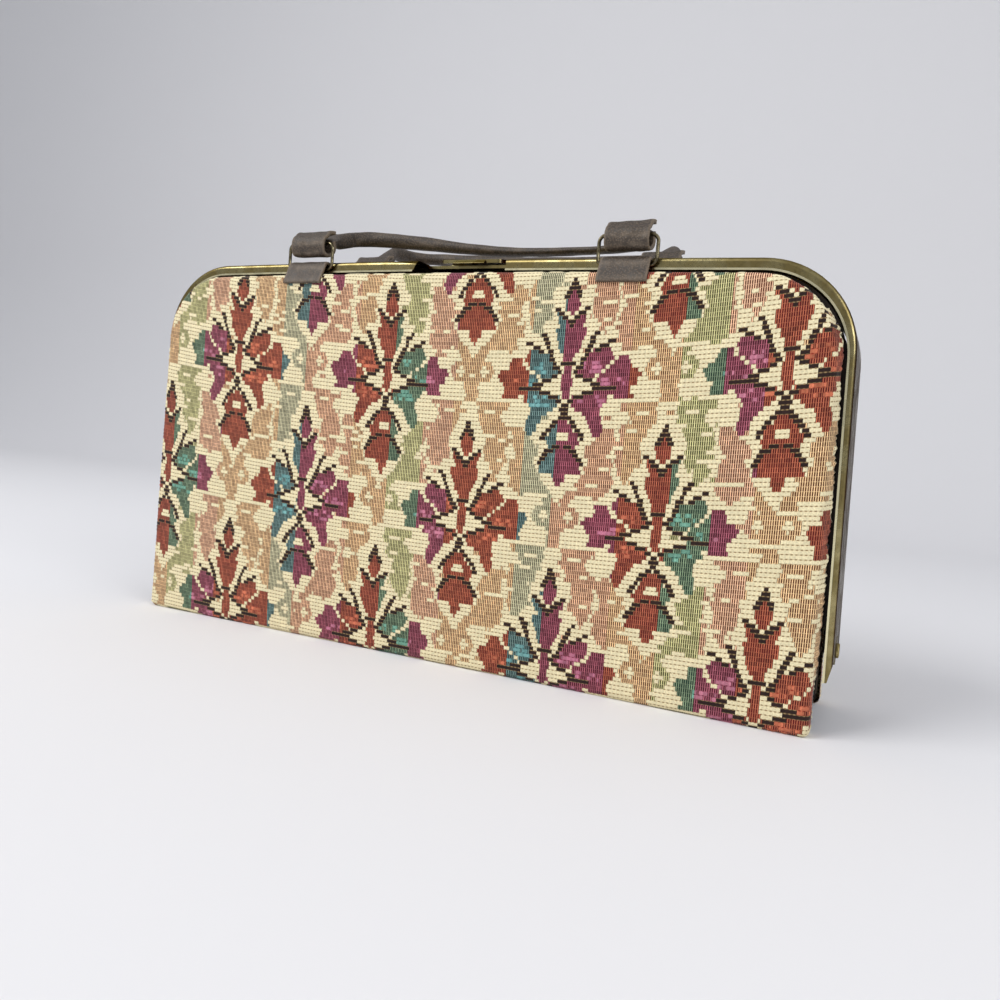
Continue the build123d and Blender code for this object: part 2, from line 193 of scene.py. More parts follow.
def makeStudio():
    makeSky()
    material, tree, shader = newMaterial("paleStudioPaper")
    adjust(tree, shader, {"Base Color": linear(studio["floorColour"]), "Roughness": studio["floorRoughness"]})
    bm = bmesh.new()
    half = studio["floorSize"] / 2
    ends = [bm.verts.new((side * half, -half, 0)) for side in (-1, 1)]
    edge = extrudeEdges(bm, [bm.edges.new(ends)], (0, half + studio["sweepPlace"], 0))
    centre = (0, studio["sweepPlace"], studio["sweepRadius"])
    turned = bmesh.ops.spin(bm, geom=edge, cent=centre, axis=(1, 0, 0), angle=math.pi / 2,
                            steps=studio["sweepSteps"])
    top = [e for e in turned["geom_last"] if isinstance(e, bmesh.types.BMEdge)]
    extrudeEdges(bm, top, (0, 0, studio["wallHeight"]))
    newPiece("studioSweep", bm, material)
    for lamp in ("key", "fill"):
        makeLamp(lamp + "Lamp", studio[lamp + "Place"], studio[lamp + "Size"], studio[lamp + "Power"])


makeCamera()
makeStudio()
print("camera and studio ready")


# Tapestry: the cloth of both panels and of the strip under the bag
panel = {  # mm
    "bottomWidth": 290.0,
    "topWidth": 282.0,
    "height": 149.8,
    "topCrown": 1.3,
    "cornerRadius": 28.0,
    "edgeRound": 2.5,
    "wall": 8.5,
    "turnIn": 10.0,  # cloth beyond each edge
    "relief": 0.5,  # how far the raised flowers stand out of the solid panel
    "crown": 0.5,  # how far the padding swells
    "hemStart": 4.0,  # from the edge of the flat face
    "hemRamp": 2.5,
    "hemSpread": 1.5,  # how far the raw edge of the cover stands out towards the frame
    "hemFray": (0.75, 0.5),  # mean share of the spread, and how far that varies
    "hemFoot": 14.0,  # below this height the edge lies flat
    "hemFootRamp": 6.0,
    "sideFacing": 0.8,  # the normal's share along X on the two sides
}
weave = {  # mm; noise scales are per mm, across and up
    "warpPitch": 0.741,
    "ribPitch": 1.4843,
    "ribHeight": 0.3,
    "openHeight": 0.1,
    "unevenness": 0.12,
    "unevenScale": (0.03, 0.03),
    "frayScale": (0.01, 0.9),
    "frayLayer": 5,
    "bow": (0.00013, 0.0000036),  # rows sag in the middle, more near the top
}

# One repeat of the flower, its right half, in mm from the flower's heart
repeat = {"across": 75.6, "up": 103.9, "low": -62.0, "hearts": ((-23.8, 112.3), (13.7, 60.3))}
petals = {
    "bud": [(0, 31), (1.6, 30), (2.4, 27.5), (2.9, 25.4), (1.8, 23), (0, 21.6)],
    "calyx": [(0, 17.4), (2.2, 19.6), (5.8, 22.4), (4.8, 19), (3.4, 16.2), (0, 15.8)],
    "crown": [(0, 15.4), (5.6, 15), (5, 12), (4.2, 9.6), (3, 7.4), (1.7, 5), (1.6, 1), (2, -1),
              (1.9, -5), (1, -7), (0, -7.6)],
    "upper": [(14, 9.2), (15.8, 7.6), (16.2, 5.8), (14.8, 3.8), (13.6, 2.4), (11, 0.9), (9.6, -0.4),
              (5.6, 0), (4.4, 1.2), (5.4, 3.6), (6.6, 5.6), (8.2, 7.4), (10, 8.4)],
    "side": [(18.6, 5.3), (22.2, 5.7), (22.6, 3.4), (23.2, 1.6), (26.2, 0.8), (26.4, -0.8), (24.6, -3.3),
             (23.2, -4.8), (24.8, -8.1), (20, -7.6), (16.5, -6), (12, -4.9), (11.4, -2.7), (12.6, -0.4),
             (15.6, 1.4), (17.6, 3.1)],
    "lower": [(15, -6.4), (12, -6.2), (9, -6.8), (3.4, -8.2), (3.2, -10.6), (5, -12.4), (8, -14),
              (10, -17.4), (12, -20.8), (13.6, -20.2), (14.2, -17.2), (13, -13.2), (12.8, -11.2),
              (15.4, -10.1)],
    "bell": [(0, -16), (2.5, -17.4), (4.2, -19.6), (5.6, -22), (6.2, -24.2), (4.6, -25.4), (0, -25.4)],
    "drop": [(0, -26.4), (4, -27), (6, -30), (7.4, -33), (7.6, -34.4), (2.7, -35), (2.2, -37), (1.2, -39),
             (0, -40)],
}
leaves = {
    "branch": [(2, -58), (5.5, -52), (5.2, -45), (8, -42), (15.5, -43.4), (19.4, -40.8), (20.4, -36),
               (19.6, -31.5), (17.6, -28.4), (19.8, -24), (19.5, -19.2), (14.6, -18.2), (13.6, -22),
               (9.4, -25), (8.8, -29), (11, -31), (8, -34), (7.2, -38), (3.6, -41), (0.9, -45), (0.8, -54)],
    "stem": [(0, -46), (2.4, -48), (3, -56), (2.2, -62), (0, -62)],
    "flank": [(3.4, 43), (9, 45), (16.4, 45), (17, 40), (12.4, 39), (11.6, 36.4), (16.6, 33.6), (17, 28),
              (16.6, 20), (14.6, 16.4), (13, 14.2), (11.4, 14.6), (10.4, 18.4), (7.6, 20.6), (7.4, 25.6),
              (8.4, 29), (5.2, 32.6), (3.6, 37)],
    "berry": [(1.6, -49), (3, -47.6), (6.8, -47.6), (8.3, -49), (8.3, -52), (6.8, -53.4), (3, -53.4),
              (1.6, -52)],
}
ringSpots = {  # centre, half size
    "berry": ((4.9, -50.6), (4.3, 3.9)),
    "rosette": ((8.6, 38.4), (4.9, 3.4)),
}
creamSpots = {
    "berryHeart": ((4.9, -50.6), (1.8, 1.6)),
    "rosetteHeart": ((8.6, 38.4), (2.4, 0.8)),
    "bellEye": ((0, -22), (2.6, 1.5)),
}
brightSpots = {
    "upperGlow": ((8.6, 2.4), (4.6, 2.4)),
    "sideGlow": ((16.5, -2.7), (5.2, 1.5)),
    "lowerGlow": ((9.4, -9.6), (5.8, 2.4)),
}
outlines = {
    "budEdge": [(0, 33.6), (0.9, 31.6), (1.7, 29.8), (2.4, 28.2)],
    "calyxEdge": [(0, 17.8), (0.8, 19.2), (2.4, 21), (4, 22.4), (6, 23.8)],
    "heart": [(0, 4.9), (1.4, 4.9)],
    "upperInner": [(10.2, 14.6), (8.8, 12.6), (7.8, 10), (7, 8), (5.8, 5.6), (4.8, 3.4), (3, 1.9)],
    "upperTip": [(15.4, 11.4), (12.6, 9.8), (10.4, 8.5)],
    "sideRib": [(3.6, 0.2), (7, -1.4), (10, -2.6), (13.4, -4), (16.6, -4.6)],
    "lowerTop": [(10.6, -5.4), (7.4, -6.8), (5.2, -7.2), (2.4, -8.8)],
    "stemDash": [(0, -10), (0.9, -11.6), (0, -13.2), (1.4, -15)],
    "bellRoof": [(1.4, -15.2), (3.4, -16.7), (4.4, -18), (5.9, -19.6), (6.9, -20.9), (7.8, -23)],
    "dropRoof": [(2, -26), (4.6, -26.8), (6.2, -28.8), (7.2, -30.4), (8.6, -32)],
}
dash = {  # mm, of a dark float
    "half": 0.8,
    "longest": 1.9,
    "tall": 0.76,
    "slantShare": 0.25,  # of a line's run over its rise, added to the half length
    "leastRise": 0.8,
}
# each pair: the yarn, then the painted shade in the valleys between its ribs, where its ties show
cream = ("#eee1b8", "#8e6f45")
ink = ("#2c1c18", "#9c8258")
stripes = {  # warp colours from left to right: width, then petal, glow and leaf as thread and gap; each gap colour is the yarn darkened as painted shade, for the open weave's gaps and the valleys between ribs
    "start": -134.5,
    "bands": (
        (15.0, ("#869a7a", "#082a22"), ("#72a28d", "#164c3d"), ("#e2da9e", "#3f3d18")),
        (13.0, ("#ab606e", "#45061c"), ("#bc7688", "#741e3a"), ("#fbcba4", "#572413")),
        (30.0, ("#b8684a", "#540710"), ("#c26e50", "#861c16"), ("#ffd8a2", "#56240b")),
        (13.0, ("#7a9690", "#07262a"), ("#6e9e9c", "#11474c"), ("#e0d8b0", "#3b3b28")),
        (25.0, ("#ab5e6c", "#45061b"), ("#bb7288", "#741e3a"), ("#fbc9a0", "#552210")),
        (17.5, ("#b7664a", "#520711"), ("#c16c50", "#841b16"), ("#ffd6a0", "#54230a")),
    ),
}
kinds = {"ground": 0, "ink": 1, "petal": 2, "glow": 3, "leaf": 4}
draws = {  # seed, then the shortest and the longest float in mm
    "ragged": (2, 1.6, 3.4),
    "stray": (4, 2.5, 5.5),
    "shine": (6, 1.0, 2.4),
    "dye": (8, 1.5, 4.0),
}
fields = {
    "floatStart": 40.0,  # mm within which a rib's first float starts
    "leafWaver": (1.6, 1.0),  # mm that an edge strays from its drawn line, across and up
    "petalWaver": 0.9,
    "inkWaver": 0.5,
    "leafLost": 0.075,  # draws below this leave the ground bare in a leaf
    "leafStray": 0.98,  # draws above this put a leaf's float on the ground
    "petalMargin": 1.5,  # mm of ground beside a petal
    "petalGrowth": 1.14,
    "glowShare": 0.5,
}
dyeing = {
    "uneven": {"ground": 0.1, "ink": 0.3, "petal": 0.5, "glow": 0.42, "leaf": 0.36},
    "threadSeed": 10,
    "threadMiddle": 0.55,
    "gapSeed": 11,
    "gapThreads": 6,  # threads whose gaps are alike
}


def inside(points, x, y):
    found = np.zeros(x.shape, bool)
    for (x1, y1), (x2, y2) in zip(points, points[1:] + points[:1]):
        if y1 != y2:
            found ^= ((y1 > y) != (y2 > y)) & (x < x1 + (y - y1) * (x2 - x1) / (y2 - y1))
    return found


def inRound(spot, x, y):
    (cx, cy), (rx, ry) = spot
    return ((x - cx) / rx) ** 2 + ((y - cy) / ry) ** 2 < 1


def onLine(points, x, y):
    # one dark float where a rib crosses the drawn line, longer where the line runs flat
    near = np.zeros(x.shape, bool)
    for (x1, y1), (x2, y2) in zip(points, points[1:]):
        level = np.clip(y, min(y1, y2), max(y1, y2))
        if y1 == y2:
            middle = np.clip(x, min(x1, x2), max(x1, x2))
        else:
            middle = x1 + (level - y1) * (x2 - x1) / (y2 - y1)
        slant = dash["slantShare"] * abs(x2 - x1) / max(abs(y2 - y1), dash["leastRise"])
        half = min(dash["half"] + slant, dash["longest"])
        near |= (np.abs(y - level) < dash["tall"]) & (np.abs(x - middle) < half)
    return near


def lot(seed, *keys):
    # a repeatable draw from 0 to 1 for each set of whole numbers: a sine hash with its usual constants
    seedStep, firstStep, nextStep, scramble = 0.731, 12.9898, 65.233, 43758.5453
    total = np.full(np.shape(keys[0]), seed * seedStep)
    for index, key in enumerate(keys):
        total = total + key * (firstStep + nextStep * index)
    return np.modf(np.abs(np.sin(total)) * scramble)[0]


def floatDraw(name, u, rib):
    # one draw for each float along each rib; every rib starts elsewhere
    seed, shortest, longest = draws[name]
    length = shortest + (longest - shortest) * lot(seed, rib)
    number = np.floor((u + fields["floatStart"] * lot(seed + 1, rib)) / length)
    return lot(seed + 1, number, rib)


def grown(points, share):
    middle = np.mean(points, axis=0)
    return [tuple(middle + (np.array(point) - middle) * share) for point in points]


def yarnKind(u, rib):
    # which yarn shows at each crossing; later fields lie over earlier ones
    level = (rib + 0.5) * weave["ribPitch"]
    ragged = floatDraw("ragged", u, rib) - 0.5
    stray = floatDraw("stray", u, rib)
    shine = floatDraw("shine", u, rib)
    leafAcross, leafUp = (waver * ragged for waver in fields["leafWaver"])
    kind = np.full(u.shape, kinds["ground"])
    places = []
    for hu, hv in repeat["hearts"]:
        du = np.abs((u - hu + repeat["across"] / 2) % repeat["across"] - repeat["across"] / 2)
        dv = (level - hv - repeat["low"]) % repeat["up"] + repeat["low"]
        places.append((du, dv))
    for du, dv in places:
        for points in leaves.values():
            kind[inside(points, np.abs(du + leafAcross), dv + leafUp)] = kinds["leaf"]
    kind[(kind == kinds["leaf"]) & (stray < fields["leafLost"])] = kinds["ground"]
    kind[(kind == kinds["ground"]) & (stray > fields["leafStray"])] = kinds["leaf"]
    for du, dv in places:
        for spot in ringSpots.values():
            kind[inRound(spot, du, dv)] = kinds["leaf"]
        for points in petals.values():
            margin = inside(points, np.maximum(du - fields["petalMargin"], 0), dv)
            kind[margin & (kind == kinds["leaf"])] = kinds["ground"]
        for points in petals.values():
            petal = grown(points, fields["petalGrowth"])
            kind[inside(petal, np.abs(du + fields["petalWaver"] * ragged), dv)] = kinds["petal"]
        for spot in brightSpots.values():
            bright = inRound(spot, du, dv) & (shine < fields["glowShare"])
            kind[bright & (kind == kinds["petal"])] = kinds["glow"]
        for spot in creamSpots.values():
            kind[inRound(spot, du, dv)] = kinds["ground"]
        for points in outlines.values():
            kind[onLine(points, np.abs(du + fields["inkWaver"] * ragged), dv)] = kinds["ink"]
    return kind


def yarnColours(u, rib, kind):
    widths = np.array([band[0] for band in stripes["bands"]])
    across = (u - stripes["start"]) % widths.sum()
    band = np.searchsorted(np.cumsum(widths), across, side="right") % len(widths)
    # the first table holds the yarn, the second its painted shade for the valleys and gaps
    tables = []
    for shade in (0, 1):
        rows = [[linear(cream[shade]), linear(ink[shade]), *(linear(pair[shade]) for pair in line[1:])]
                for line in stripes["bands"]]
        tables.append(np.array(rows))
    light, dark = (table[band, kind] for table in tables)
    # no two floats took the dye alike, nor did two threads
    uneven = np.array([dyeing["uneven"][name] for name in kinds])[kind]
    thread = np.floor(u / weave["warpPitch"])
    floatDye = floatDraw("dye", u, rib) - 0.5
    threadDye = lot(dyeing["threadSeed"], thread, rib) - dyeing["threadMiddle"]
    gapDye = lot(dyeing["gapSeed"], rib, np.floor(thread / dyeing["gapThreads"])) - 0.5
    light[:, :3] *= (1 + uneven * floatDye)[:, None]
    light[:, :3] *= (1 + uneven * threadDye)[:, None]
    dark[:, :3] *= (1 + uneven * gapDye)[:, None]
    return light, dark


def halfWidth(form, height):
    return (form["bottomWidth"] + (form["topWidth"] - form["bottomWidth"]) * height / form["height"]) / 2


def foldOver(form, u, v):
    # lays flat cloth on a panel's face and turns it over the rounded edge
    # gives each point's place and normal, and how far past the flat face it lies
    edge, corner, height = form["edgeRound"], form["cornerRadius"], form["height"]
    lean = math.atan2((form["bottomWidth"] - form["topWidth"]) / 2, height)
    ns, nz = math.cos(lean), math.sin(lean)
    x = np.abs(u)
    rise = form["topCrown"] * (1 - (2 * x / form["topWidth"]) ** 2)
    past = {
        "side": (x - form["bottomWidth"] / 2) * ns + v * nz + edge,
        "top": v - height - rise + edge,
        "foot": edge - v,
    }
    depth = np.maximum(np.maximum(past["side"], past["top"]), past["foot"])
    nx = np.where(depth == past["side"], ns, 0.0)
    nv = np.where(depth == past["side"], nz, np.where(depth == past["top"], 1.0, -1.0))
    shoulder = halfWidth(form, height - corner) - corner
    lift = form["topCrown"] * (1 - (2 * shoulder / form["topWidth"]) ** 2)
    corners = (
        (shoulder, height + lift - corner, corner - edge, 1),
        (halfWidth(form, edge) - edge, edge, 0.0, -1),
    )
    for cx, cv, radius, up in corners:
        dx, dv = x - cx, v - cv
        length = np.maximum(np.hypot(dx, dv), 1e-9)  # never zero
        here = (dx > 0) & (dv * up > 0)
        depth = np.where(here, length - radius, depth)
        nx = np.where(here, dx / length, nx)
        nv = np.where(here, dv / length, nv)
    out = np.maximum(depth, 0)
    reach = np.minimum(out, turnLength(form))
    angle = np.minimum(reach / edge, math.pi / 2)
    side = edge * np.sin(angle)
    back = edge * (1 - np.cos(angle)) + np.maximum(reach - edge * math.pi / 2, 0)
    px = (x - nx * out + nx * side) * np.sign(u)
    pz = v - nv * out + nv * side
    normal = np.stack((nx * np.sin(angle) * np.sign(u), -np.cos(angle), nv * np.sin(angle)), -1)
    return np.stack((px, back, pz), -1), normal, depth


def turnLength(form):
    return form["edgeRound"] * math.pi / 2 + form["wall"] - form["edgeRound"]


def clothGrid(width, height, stepsAcross, stepsUp):
    bm = bmesh.new()
    bmesh.ops.create_grid(bm, x_segments=stepsAcross, y_segments=stepsUp, size=0.5)
    bmesh.ops.scale(bm, vec=(width, height, 1), verts=bm.verts)
    return bm


def flatPlaces(mesh):
    places = np.empty(len(mesh.vertices) * 3, np.float32)
    mesh.vertices.foreach_get("co", places)
    return places.reshape(-1, 3).astype(float)


def setAttribute(mesh, name, kind, domain, values):
    field = {"FLOAT": "value", "FLOAT_VECTOR": "vector", "FLOAT_COLOR": "color"}[kind]
    layer = mesh.attributes.new(name, kind, domain)
    layer.data.foreach_set(field, np.ascontiguousarray(values, np.float32).ravel())


def weavePattern(mesh, u, v):
    # colours every crossing and says how far its rib stands up
    quads = np.empty(len(mesh.loops), np.int32)
    mesh.loops.foreach_get("vertex_index", quads)
    quads = quads.reshape(-1, 4)
    across = u[quads].mean(1)
    rib = np.floor(v[quads].mean(1) / weave["ribPitch"])
    kind = yarnKind(across, rib)
    light, dark = yarnColours(across, rib, kind)
    gaps = np.isin(kind, (kinds["petal"], kinds["leaf"])).astype(float)
    setAttribute(mesh, "yarnLight", "FLOAT_COLOR", "FACE", light)
    # the second colour is painted shade, for the valleys between ribs and the gaps of the open weave
    setAttribute(mesh, "yarnInPaintedShade", "FLOAT_COLOR", "FACE", dark)
    setAttribute(mesh, "openWeave", "FLOAT", "FACE", gaps)
    setAttribute(mesh, "cloth", "FLOAT_VECTOR", "POINT", np.stack((u, v, np.zeros(len(u))), -1))
    height = np.zeros(len(u))
    rise = np.where(gaps > 0, weave["openHeight"], weave["ribHeight"])
    total = np.zeros(len(u))
    for corner in range(4):
        np.add.at(height, quads[:, corner], rise)
        np.add.at(total, quads[:, corner], 1)
    peak = np.abs(np.round(2 * v / weave["ribPitch"])) % 2
    return height / np.maximum(total, 1) * peak


yarnLook = {
    "threadEdge": (0.2, 0.36),  # shares of a pitch, from a gap to the full thread
    "crossingEdge": (0.01, 0.1),
    "crossingLight": 0.75,
    "valleyEdge": (0.04, 0.2),
    "tieEdge": (0.3, 0.75),
    "tieLeast": 0.3,
    "fibre": 0.5,  # mm
    "fibreNoise": (0.3, 0.7),
    "fibreShade": (0.8, 1.12),
    "bumpDepth": 0.15,  # mm
}


def wovenTapestry():
    # jacquard of cotton floats over a wool warp: soft matt ribs, with painted shade in the valleys between
    # them and in the gaps where the weave is open
    material, tree, shader = newMaterial("wovenTapestry")
    warpPitch, ribPitch = weave["warpPitch"], weave["ribPitch"]  # mm, as the cloth attribute is
    threadLow, threadHigh = (warpPitch * share for share in yarnLook["threadEdge"])
    crossingLow, crossingHigh = (ribPitch * share for share in yarnLook["crossingEdge"])
    valleyLow, valleyHigh = (ribPitch * share for share in yarnLook["valleyEdge"])
    tieLow, tieHigh = (warpPitch * share for share in yarnLook["tieEdge"])
    spot = node(tree, "Attribute", {"attribute_name": "cloth"})
    light = node(tree, "Attribute", {"attribute_name": "yarnLight"})
    dark = node(tree, "Attribute", {"attribute_name": "yarnInPaintedShade"})
    gaps = node(tree, "Attribute", {"attribute_name": "openWeave"})
    axes = node(tree, "SeparateXYZ", links={0: spot.outputs["Vector"]})
    # open weave: threads beside gaps of painted shade, tied where a rib crosses
    warp = node(tree, "Math", {"operation": "PINGPONG", 1: warpPitch / 2}, {0: axes.outputs[0]})
    rib = node(tree, "Math", {"operation": "PINGPONG", 1: ribPitch / 2}, {0: axes.outputs[1]})
    thread = node(tree, "MapRange", {"interpolation_type": "SMOOTHSTEP", "From Min": threadLow,
                                     "From Max": threadHigh}, {0: warp.outputs[0]})
    crossing = node(tree, "MapRange", {"interpolation_type": "SMOOTHSTEP", "From Min": crossingLow,
                                       "From Max": crossingHigh, "To Min": yarnLook["crossingLight"],
                                       "To Max": 0.0}, {0: rib.outputs[0]})
    openMask = node(tree, "Math", {"operation": "MAXIMUM"}, {0: thread.outputs[0], 1: crossing.outputs[0]})
    # close weave: full ribs, with painted shade in the valleys between them, darkest at the ties
    valley = node(tree, "MapRange", {"interpolation_type": "SMOOTHSTEP", "From Min": valleyLow,
                                     "From Max": valleyHigh, "To Min": 1.0, "To Max": 0.0},
                  {0: rib.outputs[0]})
    pair = node(tree, "Math", {"operation": "PINGPONG", 1: warpPitch}, {0: axes.outputs[0]})
    tie = node(tree, "MapRange", {"From Min": tieLow, "From Max": tieHigh, "To Min": yarnLook["tieLeast"]},
               {0: pair.outputs[0]})
    floatMask = node(tree, "Math", {"operation": "MULTIPLY"}, {0: valley.outputs[0], 1: tie.outputs[0]})
    floatMask = node(tree, "Math", {"operation": "SUBTRACT", 0: 1.0}, {1: floatMask.outputs[0]})
    mask = node(tree, "Mix", {"data_type": "FLOAT"},
                {0: gaps.outputs["Fac"], 2: floatMask.outputs[0], 3: openMask.outputs[0]})
    yarn = node(tree, "Mix", {"data_type": "RGBA"},
                {0: mask.outputs[0], 6: dark.outputs["Color"], 7: light.outputs["Color"]})
    fibre = node(tree, "TexNoise", {"Scale": 1 / yarnLook["fibre"], "Detail": 4.0},
                 {"Vector": spot.outputs["Vector"]})
    (noiseLow, noiseHigh), (shadeLow, shadeHigh) = yarnLook["fibreNoise"], yarnLook["fibreShade"]
    shade = node(tree, "MapRange", {"From Min": noiseLow, "From Max": noiseHigh, "To Min": shadeLow,
                                    "To Max": shadeHigh}, {0: fibre.outputs["Fac"]})
    colour = node(tree, "Mix", {"data_type": "RGBA", "blend_type": "MULTIPLY", 0: 1.0},
                  {6: yarn.outputs[2], 7: shade.outputs[0]})
    bump = node(tree, "Bump", {"Strength": 0.7, "Distance": yarnLook["bumpDepth"] * mm},
                {"Height": mask.outputs[0]})
    adjust(tree, shader, {"Roughness": 0.92, "Specular IOR Level": 0.25, "Sheen Weight": 0.12},
           {"Base Color": colour.outputs[2], "Normal": bump.outputs[0]})
    return material


tapestryCloth = wovenTapestry()


def cutCloth(name, form, pitch, material, bow):
    # a whole cut of cloth, trimmed to what turns over the edge; its flat places are in its vertices
    extra = turnLength(form) - form["edgeRound"]
    columns = math.ceil((form["bottomWidth"] / 2 + extra) / pitch[0]) * 2
    below = math.ceil(2 * extra / pitch[1])
    rows = math.ceil(form["height"] / pitch[1]) + 2 * below
    bm = clothGrid(columns * pitch[0], rows * pitch[1], columns, rows)
    bmesh.ops.translate(bm, vec=(0, (rows / 2 - below) * pitch[1], 0), verts=bm.verts)
    u, v = np.array([vert.co[:2] for vert in bm.verts]).T
    depth = foldOver(form, u, v + bow(u, v))[2]
    outer = [f for f in bm.faces if min(depth[vert.index] for vert in f.verts) > turnLength(form)]
    bmesh.ops.delete(bm, geom=outer, context="FACES")
    return newPiece(name, bm, material)


def layCloth(piece, spot):
    piece.data.vertices.foreach_set("co", (spot * mm).astype(np.float32).ravel())
    piece.data.update()


def ripple(u, v, scale, layer):
    return np.array([noise.noise((a * scale[0], b * scale[1], layer)) for a, b in zip(u, v)])


def sag(u, v):
    return (weave["bow"][0] + weave["bow"][1] * np.clip(v, 0, None)) * u ** 2


def layOnPanels(front, rear, slot, layer):
    for piece, half in ((front, "front"), (rear, "rear")):
        place(piece, half + "_half", slot, half + layer)


def spanHalves(piece, name):
    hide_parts(name)
    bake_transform(piece)


def coverPiece(name):
    pitch = (weave["warpPitch"], weave["ribPitch"] / 2)
    piece = cutCloth(name, panel, pitch, tapestryCloth, sag)
    u, v, _ = flatPlaces(piece.data).T
    rise = weavePattern(piece.data, u, v)
    spot, normal, depth = foldOver(panel, u, v + sag(u, v))
    swell = panel["crown"] * np.sin(np.clip(-depth / panel["cornerRadius"], 0, 1) * math.pi / 2)
    drift = ripple(u, v, weave["unevenScale"], 0) * weave["unevenness"]
    # the raw edge stands out and frays at both sides, above the foot
    hem = np.clip((depth - panel["hemStart"]) / panel["hemRamp"], 0, 1)
    hem = hem * (np.abs(normal[:, 0]) > panel["sideFacing"])
    hem = hem * np.clip((v - panel["hemFoot"]) / panel["hemFootRamp"], 0, 1)
    mean, vary = panel["hemFray"]
    drift += hem * panel["hemSpread"] * (mean + vary * ripple(u, v, weave["frayScale"], weave["frayLayer"]))
    spot += normal * (rise + swell + drift)[:, None]
    spot[:, 1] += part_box("front_cover")[0].y / mm + panel["relief"]
    layCloth(piece, spot)
    return piece


def turnedCopy(piece, name):
    mesh = piece.data.copy()
    mesh.transform(Matrix.Rotation(math.pi, 4, "Z"))
    made = bpy.data.objects.new(name, mesh)
    scene.collection.objects.link(made)
    return made


frontCover = coverPiece("tapestryFront")
rearCover = turnedCopy(frontCover, "tapestryRear")
layOnPanels(frontCover, rearCover, "tapestry", "_cover")
print("tapestry covers woven:", len(frontCover.data.polygons), "crossings each")

# Strip of the same cloth under the bag
strip = {"ribs": 28, "level": 0.6}  # mm


def stripPiece(name):
    low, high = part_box("base_cover")
    columns = round((high.x - low.x) / mm / weave["warpPitch"])
    bm = clothGrid((high.x - low.x) / mm, (high.y - low.y) / mm, columns, 2 * strip["ribs"])
    piece = newPiece(name, bm, tapestryCloth)
    u, v, _ = flatPlaces(piece.data).T
    rib = (high.y - low.y) / mm / strip["ribs"]
    rise = weavePattern(piece.data, u, v / rib * weave["ribPitch"])
    layCloth(piece, np.stack((u, v, strip["level"] - rise), -1))
    piece.data.flip_normals()
    return piece


baseStrip = stripPiece("tapestryBase")
spanHalves(baseStrip, "base_cover")
print("base strip ready")


def darkCloth(name, form):
    # densely woven dark cloth: matt, with a slight sheen on its folds
    material, tree, shader = newMaterial(name)
    spot = node(tree, "TexCoord")
    grain = node(tree, "TexNoise", {"Scale": 1 / (form["threadPitch"] * mm), "Detail": 3.0},
                 {"Vector": spot.outputs["Object"]})
    shade = node(tree, "Mix", {"data_type": "RGBA", 6: linear(form["colour"]), 7: linear(form["worn"])},
                 {0: grain.outputs["Fac"]})
    bump = node(tree, "Bump", {"Strength": 0.4, "Distance": 0.1 * mm}, {"Height": grain.outputs["Fac"]})
    adjust(tree, shader, {"Roughness": 0.9, "Sheen Weight": 0.1},
           {"Base Color": shade.outputs[2], "Normal": bump.outputs[0]})
    return material


# Lining on the back of each panel
lining = {  # mm
    "bottomWidth": 294.6,  # its border shows black between the panel and the frame
    "topWidth": 286.6,
    "height": 149.9,
    "topCrown": 1.3,
    "cornerRadius": 30.0,
    "edgeRound": 0.7,
    "wall": 0.8,
    "turnIn": 1.0,
    "footTaper": 0.025,  # narrower below the frame's feet
    "footTop": 36.0,
    "footRamp": 8.0,
    "pitch": 2.4,
    "pucker": 0.25,
    "puckerScale": (0.05, 0.02),  # per mm, across and up
    "puckerLayer": 4,
    "threadPitch": 0.5,
    "colour": "#1b1613",
    "worn": "#332a24",
}


def liningPiece(name):
    material = darkCloth("liningSateen", lining)
    piece = cutCloth(name, lining, (lining["pitch"], lining["pitch"]), material, lambda u, v: 0 * u)
    u, v, _ = flatPlaces(piece.data).T
    spot, normal, depth = foldOver(lining, u, v)
    swell = ripple(u, v, lining["puckerScale"], lining["puckerLayer"]) * lining["pucker"]
    spot += normal * (swell * (depth < 0))[:, None]
    low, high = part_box("front_lining")
    foot = np.clip((lining["footTop"] - spot[:, 2]) / lining["footRamp"], 0, 1)
    spot[:, 0] *= 1 - lining["footTaper"] * foot
    spot[:, :2] *= -1  # faces the inside of the bag
    spot += (0, high.y / mm - lining["pucker"], low.z / mm)
    layCloth(piece, spot)
    return piece


frontLining = liningPiece("liningFront")
rearLining = turnedCopy(frontLining, "liningRear")
layOnPanels(frontLining, rearLining, "lining_cloth", "_lining")
print("linings ready")

# Gussets: black cloth folded in between the two panels
gusset = {  # mm
    "inset": 5.0,
    "fold": 6.0,
    "steps": (28, 60),
    "thickness": 0.7,
    "wrinkle": 0.7,
    "wrinkleScale": (0.12, 0.05),  # per mm, across and up
    "wrinkleLayer": 9,
    "edgePower": 4,  # wrinkles die out towards the panels
    "threadPitch": 0.45,
    "colour": "#0b0a0a",
    "worn": "#1d1a19",
}


def thicken(piece, thickness):
    wall = piece.modifiers.new("thickness", "SOLIDIFY")
    wall.thickness = thickness * mm
    wall.offset = -1


